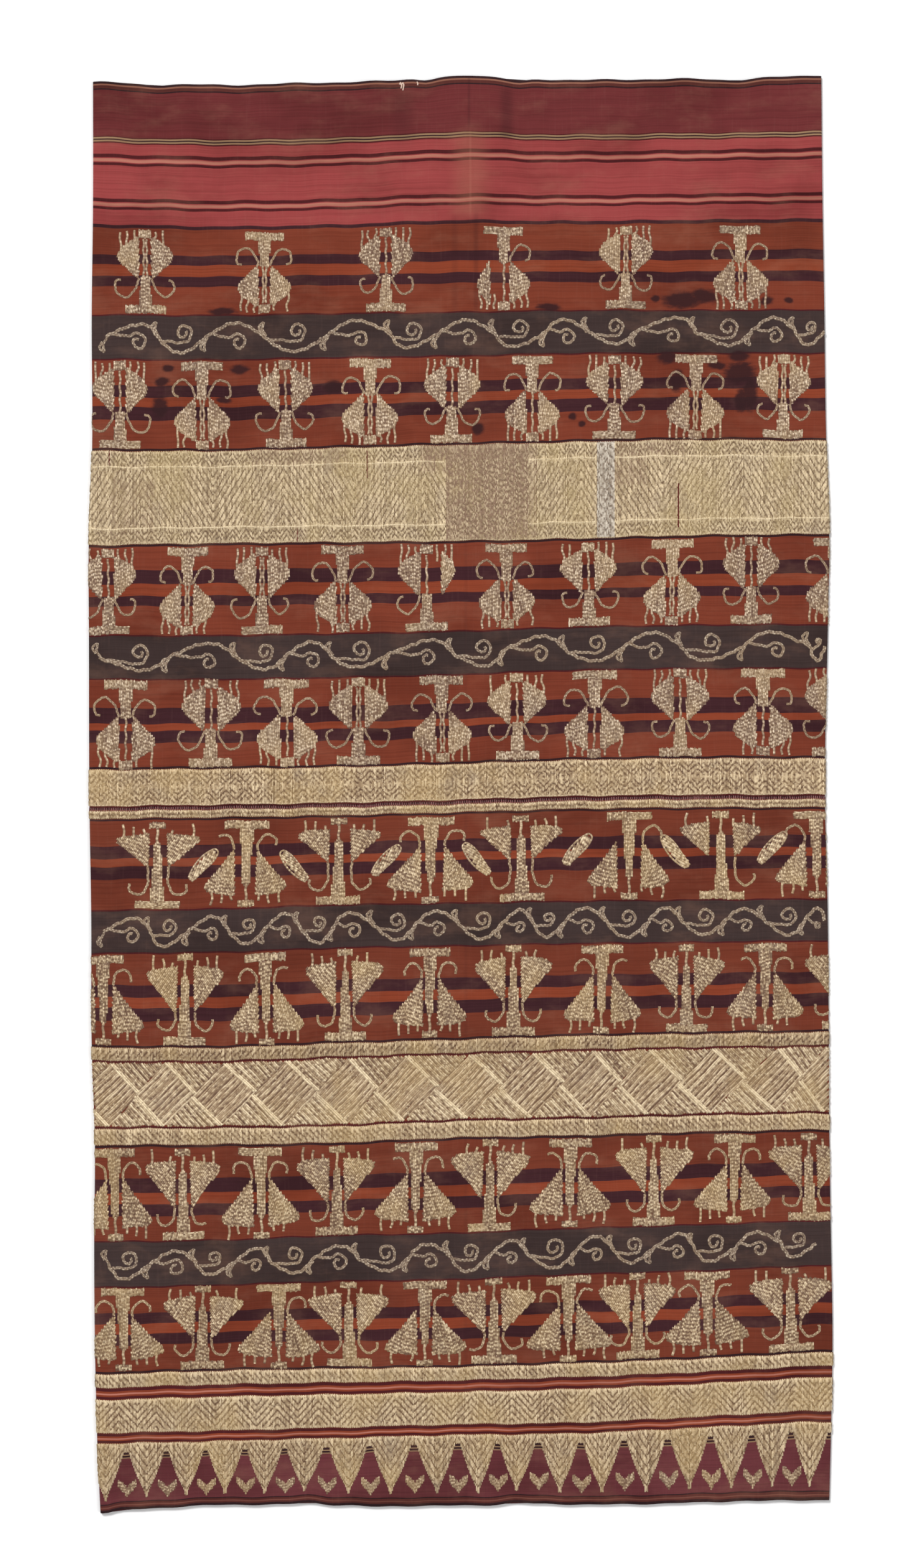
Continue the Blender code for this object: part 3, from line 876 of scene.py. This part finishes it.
sew_narrow_band("slanted_hem_band", 1105.0, 1117.0, 1, 0.56, 0.5)
sew("zigzag_hem_band", lay_band(ZIGZAG_TOP, 1154.8, zigzag_dips, 0.59, 0.8), gold)
pointed = lay_band(POINTED_TOP, HEM_DOWN, point_dips, 0.49, 0.85, foot_at=point_foot)
sew("pointed_hem_band", pointed, gold)
leaves = []
for left, right in zip(POINT_TIPS[:-1], POINT_TIPS[1:]):
    if abs(left) < FRONT_REACH and abs(right) < FRONT_REACH:
        top = 1195.0 + luck.uniform(-0.8, 0.8)
        leaf = forked_leaf((left + right) / 2 + 0.8, top)
        leaves += laid_in(leaf, pitch=1.2, stitch=2.6, tone=0.36, wear=0.3, crest=0.6)
sew("forked_leaves", leaves, gold)


# Rows of standing figures like split pods on a stem, every other one upside down. Each is filled with
# short stitched threads. Its hooks are pairs of thread laid as cords, and its fringes are single cords.
POD_LOBE = ((6, 67.5), (6.2, 37), (7.4, 31), (9.5, 32.5), (18, 40.5), (24, 45), (27.8, 49.5), (28.2, 54),
            (24.5, 60), (14, 66), (8, 69.5))
POD_STEM = ((-6.6, 7), (6.6, 7), (5.8, 18), (4.6, 32.5), (-4.6, 32.5), (-5.8, 18))
POD_HOOK = ((6, 31.5), (8.8, 25), (13.2, 18.4), (20.2, 14.6), (27.2, 17.6), (30.4, 24), (28.6, 29.6),
            (24.4, 30.4))
POD_FRINGES = ((10.5, 63), (18.4, 59), (25, 56))
POD_REACH = 28.2
POD_HEIGHT = 75.6
PIXEL = 0.5332
MIDDLE_PIXEL = 740
WAIST_PIXEL = 124


def eased(points, step):
    """A smooth line through points, in even steps."""
    points = np.asarray(points, float)
    chord = np.concatenate([[0], np.cumsum(np.hypot(*np.diff(points, axis=0).T))])
    slopes = np.gradient(points, chord, axis=0)
    at = np.linspace(0, chord[-1], max(2, round(chord[-1] / step)) + 1)
    return smooth_between(chord, lambda i: points[i], lambda i: slopes[i], at)


def cord_along(points, width=2.5, strands=2, tone=0.5, wear=0.3, step=1.7, height=0.7, wobble=0.0):
    """A cord of strands side by side along a smooth line, held at every other step, with its raised
    beads painted lighter as highlight and the held ones darker as shade. Wobble is how far it strays aside."""
    path = eased(points, step)
    run = np.gradient(path, axis=0)
    side = np.stack([-run[:, 1], run[:, 0]], 1) / np.maximum(np.hypot(*run.T), 1e-6)[:, None]
    sway = np.sin(0.95 * np.arange(len(path)) + luck.uniform(0, 6))
    sway += strays(-0.8, 0.8, sway)
    path = path + side * (wobble * sway)[:, None]
    threads = []
    for strand in range(strands):
        aside = (strand - (strands - 1) / 2) * width / strands
        place = path + side * aside
        bead = (np.arange(len(path)) + strand) % 2
        # painted highlight on raised beads and painted shade on held ones
        tones = tone + np.where(bead, 0.32, -0.28) + strays(-0.25, 0.25, bead)
        lift = height * (0.65 + 0.35 * bead)
        threads.append(thread_of(place[:, 0], place[:, 1], lift, tones, wear, 1.05 * width / strands))
    return threads


def stand(centre, foot, upright, wide, tall):
    """A way from a figure's own places, across and up from its foot, to places on the cloth."""
    lean = luck.uniform(-0.02, 0.02)
    wide, tall = wide * luck.uniform(0.97, 1.03), tall * luck.uniform(0.985, 1.015)
    up = -1 if upright else 1

    def placed(points):
        return [(centre + wide * x + lean * y, foot + up * tall * y) for x, y in points]
    return placed


def bar(placed, half, low, high, tone):
    """A filled bar, each half laid upright, or along it now and then."""
    threads = []
    for side in (-1, 1):
        outline = placed([(0, low), (side * half, low), (side * half, high), (0, high)])
        along = luck.random() < 0.2
        threads += laid_in(outline, math.pi / 2 if along else 0.0, 1.2, 3.6, tone + 0.06, 0.15, pull=0.7)
    return threads


def split_pod(centre, low, upright, wide, tall, worn_side):
    """One split-pod figure. A worn side has lost its hook and the inner part of its lobe."""
    placed = stand(centre, low, upright, wide, tall)
    tone = 0.29 + luck.uniform(-0.07, 0.08)
    cap = [(-6.4, 68.3), (6.4, 68.3), (6.4, POD_HEIGHT), (-6.4, POD_HEIGHT)]
    threads = bar(placed, 20.8, 0.3, 7.2, tone)
    threads += laid_in(placed(POD_STEM), tone=tone, wear=0.18)
    threads += laid_in(placed(cap), tone=tone, wear=0.18)
    for aside in (-1.4, 1.6) if luck.random() < 0.4 else (0.2,):
        wavy = [(aside + 0.6 * math.sin(0.55 * y + aside), y) for y in np.arange(31.0, 70.0, 3.0)]
        threads += cord_along(placed(wavy), 1.9, 1, tone - 0.05, 0.35)
    for side in (-1, 1):
        narrow = 0.62 if side == worn_side else 1.0
        lobe = placed([(side * (POD_REACH - (POD_REACH - x) * narrow), y) for x, y in POD_LOBE])
        threads += laid_in(lobe, side * luck.uniform(0.0, 0.3), tone=tone, wear=0.16)
        if side != worn_side:
            size, (root, rise) = luck.uniform(0.84, 1.04), POD_HOOK[0]
            hook = [(side * (root + (x - root) * size), rise + (y - rise) * size) for x, y in POD_HOOK]
            threads += cord_along(placed(hook), 2.0, 2, tone, 0.35, wobble=0.3)
        for fringe, fringe_foot in POD_FRINGES:
            if luck.random() < 0.9:
                top = POD_HEIGHT + luck.uniform(-1.5, 0.5)
                bend = luck.uniform(-1.3, 1.3)
                long, at = top - fringe_foot, side * fringe
                points = [(at, fringe_foot - 2), (at + bend, fringe_foot + 0.4 * long),
                          (at - bend, fringe_foot + 0.7 * long), (at, top)]
                threads += cord_along(placed(points), 1.9, 1, tone, 0.3, 1.6)
    return threads


POD_ROWS = (
    # name, foot of the row, its head, whether the first stands upright, width, centres in pixels
    ("split_pods_1", 200.2, 128.0, True, 0.82, (234, 425, 620, 809, 1005, 1189)),
    ("split_pods_2", 313.0, 240.6, True, 0.84, (193, 324, 460, 595, 725, 855, 987, 1119, 1258)),
    ("split_pods_3", 474.0, 400.4, True, 0.86, (175, 302, 421, 550, 686, 813, 947, 1081, 1207, 1341)),
    ("split_pods_4", 586.6, 512.8, False, 0.9, (202, 338, 460, 576, 709, 832, 956, 1093, 1226, 1340)),
)
WORN_SIDES = {("split_pods_1", 3): -1, ("split_pods_3", 4): 1}


def on_front(pixel):
    """Millimetres across, from the place of a figure in the photograph counted from its left."""
    return (pixel - MIDDLE_PIXEL) * PIXEL


def lay_row(figure, low, high, upright, wide, height, centres, detail):
    """One row of figures, every other one turned over. Detail gives what each has of its own."""
    threads = []
    for number, centre in enumerate(centres):
        foot, tall = low if upright else high, (low - high) / height
        threads += figure(on_front(centre), foot, upright, wide, tall, detail(number))
        upright = not upright
    return threads


pale_gold = gilt_thread("paler gilt thread", (92, 62, 44), (167, 143, 115), (230, 211, 184),
                        (187, 160, 116))
for name, low, high, upright, wide, centres in POD_ROWS:
    sew(name, lay_row(split_pod, low, high, upright, wide, POD_HEIGHT, centres,
                      lambda number: WORN_SIDES.get((name, number), 0)), pale_gold)


# The lower rows of figures, narrower at the head, with wings that widen upward and a stem that runs up
# between them as a cord. They are sewn in the same way, and small pods lie between those of one row.
WING = ((6, 68), (6.4, 38), (7, 26.5), (9.4, 28.5), (20.8, 43), (33.8, 57.5), (34.4, 62.5), (29.6, 65.5),
        (17, 67))
WING_STEM = ((-6, 7), (6, 7), (5.6, 17), (4.4, 25), (3.7, 42), (3.2, 57), (0.9, 60), (-0.9, 60), (-3.2, 57),
             (-3.7, 42), (-4.4, 25), (-5.6, 17))
WING_STEM_CORD = ((0.5, 58), (-0.4, 63), (0.4, 68), (0, 74))
WING_HOOK = ((7.4, 26.5), (7.4, 22.5), (8.6, 18.5), (11.2, 14.6), (15.6, 12.6), (20, 14), (23, 18),
             (22.8, 22.8))
WING_TICKS = ((11.5, 73), (20, 74.5), (28.8, 77))
WING_HEIGHT = 78.0
WING_HEAD = 68.5
WING_TIP = 26.5
WING_ROOT, WING_SPAN = 6, 28
TICK_FOOT = 64.5


def winged(centre, foot, upright, wide, tall, wings):
    """One winged figure. Wings are how high their points stand and how far they stand off the stem."""
    tip, gap = wings
    placed = stand(centre, foot, upright, wide, tall)
    tone = 0.37 + luck.uniform(-0.06, 0.08)
    squeeze = (WING_HEAD - tip) / (WING_HEAD - WING_TIP)
    cap = [(-7.0, 72.8), (7.0, 72.8), (7.0, WING_HEIGHT), (-7.0, WING_HEIGHT)]
    threads = bar(placed, 18.8, 0.3, 6.9, tone)
    threads += laid_in(placed(WING_STEM), tone=tone, wear=0.14)
    threads += cord_along(placed(WING_STEM_CORD), 2.2, 1, tone, 0.3)
    threads += laid_in(placed(cap), tone=tone, wear=0.1)
    for side in (-1, 1):
        apart, reach = gap * luck.uniform(0.1, 1.9), luck.uniform(-1.2, 1.8)
        spread = (reach - apart) / WING_SPAN
        wing = [(side * (x + apart + spread * (x - WING_ROOT)), WING_HEAD - (WING_HEAD - y) * squeeze)
                for x, y in WING]
        slant = -0.6 if upright else 0.3 * side
        threads += laid_in(placed(wing), slant, tone=tone, wear=0.12, drift=0.35)
        if luck.random() < 0.93:
            end = 8 if luck.random() < 0.8 else 6
            hook = [(WING_HOOK[0][0], tip), *WING_HOOK[1:end]]
            hook = [(side * (x + apart), y) for x, y in hook]
            threads += cord_along(placed(hook), 2.2, 2, tone, 0.28, wobble=0.3)
        for tick, top in WING_TICKS:
            if luck.random() < 0.92:
                bend, tick = luck.uniform(-1.2, 1.2), side * (tick + reach)
                top += luck.uniform(-1.5, 1.0)
                middle = (tick + bend, (TICK_FOOT + top) / 2)
                points = [(tick, TICK_FOOT), middle, (tick - 0.5 * bend, top)]
                threads += cord_along(placed(points), 2.0, 1, tone, 0.25, 1.9)
    return threads


def small_pod(centre, down, lean):
    """A long pod outlined by a cord and filled, but for an open hollow at one end."""
    cos, sin = math.cos(lean), math.sin(lean)

    def rounded(low, high, reach):
        ring = []
        for end, turn_from in ((high, -math.pi / 2), (low, math.pi / 2)):
            for turn in np.linspace(turn_from, turn_from + math.pi, 5):
                x, y = end + reach * math.cos(turn), reach * math.sin(turn)
                ring.append((centre + x * cos - y * sin, down + x * sin + y * cos))
        return ring
    ring = rounded(-13.4, 13.4, 3.2)
    slant = math.pi / 2 - lean + 0.35
    body = laid_in(rounded(-11.0, 13.6, 3.7), slant, 1.9, 4.2, 0.62, 0.06, 0.9, stray=2.8)
    return body + cord_along(ring + ring[:1], 1.5, 1, 0.45, 0.15, 1.5, 0.6)


WINGED_ROWS = (
    # name, foot, head, whether the first stands upright, width, wing tips of the upright ones,
    # gap beside the stem, centres in pixels
    ("winged_figures_1", 707.0, 633.4, True, 1.03, 38.0, 2.3,
     (252, 397, 543, 693, 839, 1011, 1160, 1311)),
    ("winged_figures_2", 822.8, 746.4, False, 0.95, 28.0, 1.3,
     (165, 296, 426, 555, 691, 825, 968, 1103, 1230, 1355)),
    ("winged_figures_3", 990.0, 911.6, False, 0.96, 28.0, 0.5,
     (183, 295, 418, 541, 669, 786, 917, 1050, 1181, 1301)),
    ("winged_figures_4", 1103.2, 1031.4, False, 1.0, 28.0, 0.4,
     (197, 325, 448, 562, 683, 794, 914, 1025, 1136, 1272)),
)
SMALL_PODS = (
    # across and down in pixels of the photograph, and whether the right end is the higher
    (327, 1380, True), (472, 1386, False), (621, 1381, True), (765, 1381, False), (928, 1369, True),
    (1084, 1374, False), (1241, 1369, True),
)
for name, low, high, upright, wide, tip, gap, centres in WINGED_ROWS:
    tips = (tip, WING_TIP) if upright else (WING_TIP, tip)
    sew(name, lay_row(winged, low, high, upright, wide, WING_HEIGHT, centres,
                      lambda number: (tips[number % 2], gap)), gold)
pods = []
for pixel, down, rising in SMALL_PODS:
    lean = math.radians(134 if rising else 50)
    pods += small_pod(on_front(pixel), (down - WAIST_PIXEL) * PIXEL, lean)
sew("small_pods", pods, gold)


# Running tendrils in the four grey stripes, each one long pair of cords laid by hand in uneven waves,
# with curls and small buds on shorter cords. Their thread is greyer, with more of its core showing.
TENDRIL_BANDS = (
    # name, middle of the stripe, length of a wave, where the first begins, which way it starts
    ("tendrils_1", 220.2, 92.0, -304.0, 1),
    ("tendrils_2", 493.4, 98.0, -310.0, -1),
    ("tendrils_3", 726.2, 68.0, -306.0, 1),
    ("tendrils_4", 1010.4, 72.0, -302.0, -1),
)
TENDRIL_SWING = 12.6
BUD = ((0, 0.6), (3.2, 7), (2.2, 12.2), (6.2, 9.4), (3.8, 3.6))


def curl(centre, down, start_angle, side, size):
    """A shrinking curl round a middle, a turn and a quarter long."""
    points = []
    for part in np.linspace(0, 1, 11):
        angle = start_angle + side * part * 2.4 * math.pi
        reach = size * (1 - 0.70 * part)
        points.append((centre + reach * math.cos(angle), down + reach * math.sin(angle)))
    return points


def tendrils(middle, wave, start, way):
    """One wavy stem from fold to fold, with a curl that grows into each hollow and a bud beside it."""
    threads, stem, across, side = [], [], start, way
    while across < 300:
        length = min(wave / 2 * luck.uniform(0.78, 1.22), 312 - across)
        swing = TENDRIL_SWING * luck.uniform(0.82, 1.04)
        lean = luck.uniform(-0.12, 0.2) * length
        for part in np.linspace(0, 1, 7)[:-1]:
            rise = math.sin(math.pi * part)
            stem.append((across + length * part + lean * rise * side, middle - side * swing * rise))
        size = min(8.4, length * 0.21) * luck.uniform(0.85, 1.0)
        centre, down = across + length * 0.54 + lean * 0.4 * side, middle + side * 4.2
        branch = (across + length * 0.08, middle - side * swing * math.sin(0.08 * math.pi))
        growing = [branch] + curl(centre, down, -side * math.pi / 2 - 0.9, side, size)
        threads += cord_along(growing, 2.5, 2, 0.42, 0.0, 1.5, 0.75, 0.3)
        bud = across + length * 0.02
        points = [(bud - back, middle + side * out) for back, out in BUD]
        threads += cord_along(points, 2.2, 2, 0.42, 0.0, 1.5, 0.7, 0.2)
        across += length
        side = -side
    stem.append((across, middle))
    return threads + cord_along(stem, 2.9, 2, 0.44, 0.0, 1.5, 0.85, 0.45)


greyed = gilt_thread("greyed gilt thread", (82, 63, 52), (142, 121, 102), (202, 185, 161), (156, 132, 103))
for name, middle, wave, start, way in TENDRIL_BANDS:
    sew(name, tendrils(middle, wave, start, way), greyed)


# The surface it lies on is a pale matt table, under two soft lights in an evenly lit room. The camera
# looks straight down at the front.
TABLE_REACH = 6.0
TABLE_LEVEL = -0.0004


def table_top():
    """A wide flat square, just under the cloth."""
    mesh = bpy.data.meshes.new("table_top")
    signs = ((-1, -1), (1, -1), (1, 1), (-1, 1))
    corners = [(x * TABLE_REACH, y * TABLE_REACH, TABLE_LEVEL) for x, y in signs]
    mesh.from_pydata(corners, [], [(0, 1, 2, 3)])
    material, tree, shader = shader_of("pale table")
    shader.inputs["Base Color"].default_value = (0.98, 0.98, 0.98, 1)
    shader.inputs["Roughness"].default_value = 0.9
    mesh.materials.append(material)
    added("table_top", mesh)


def soft_light(name, place, size, power):
    """A round lamp that faces the middle of the cloth."""
    lamp = bpy.data.lights.new(name, "AREA")
    lamp.shape = "DISK"
    lamp.size = size
    lamp.energy = power
    light = added(name, lamp)
    light.location = place
    light.rotation_euler = (-Vector(place)).to_track_quat("-Z", "Y").to_euler()


table_top()
soft_light("key", (-4.4, 7.0, 10.0), 3.2, 1290)
soft_light("fill", (7.2, -2.8, 8.4), 7.5, 380)
world = bpy.data.worlds.new("pale room")
bpy.context.scene.world = world
world.use_nodes = True
world.node_tree.nodes["Background"].inputs[0].default_value = (1, 1, 1, 1)
world.node_tree.nodes["Background"].inputs[1].default_value = 0.36
bpy.context.scene.view_settings.view_transform = "Standard"

FRAME_HEIGHT = 1.3437
LENS = 85.0
SENSOR = 36.0
camera_data = bpy.data.cameras.new("camera")
camera_data.lens = LENS
camera_data.sensor_width = SENSOR
camera = added("camera", camera_data)
camera.location = (-0.0056, 0.0080, 0.004 + FRAME_HEIGHT * LENS / SENSOR)
bpy.context.scene.camera = camera
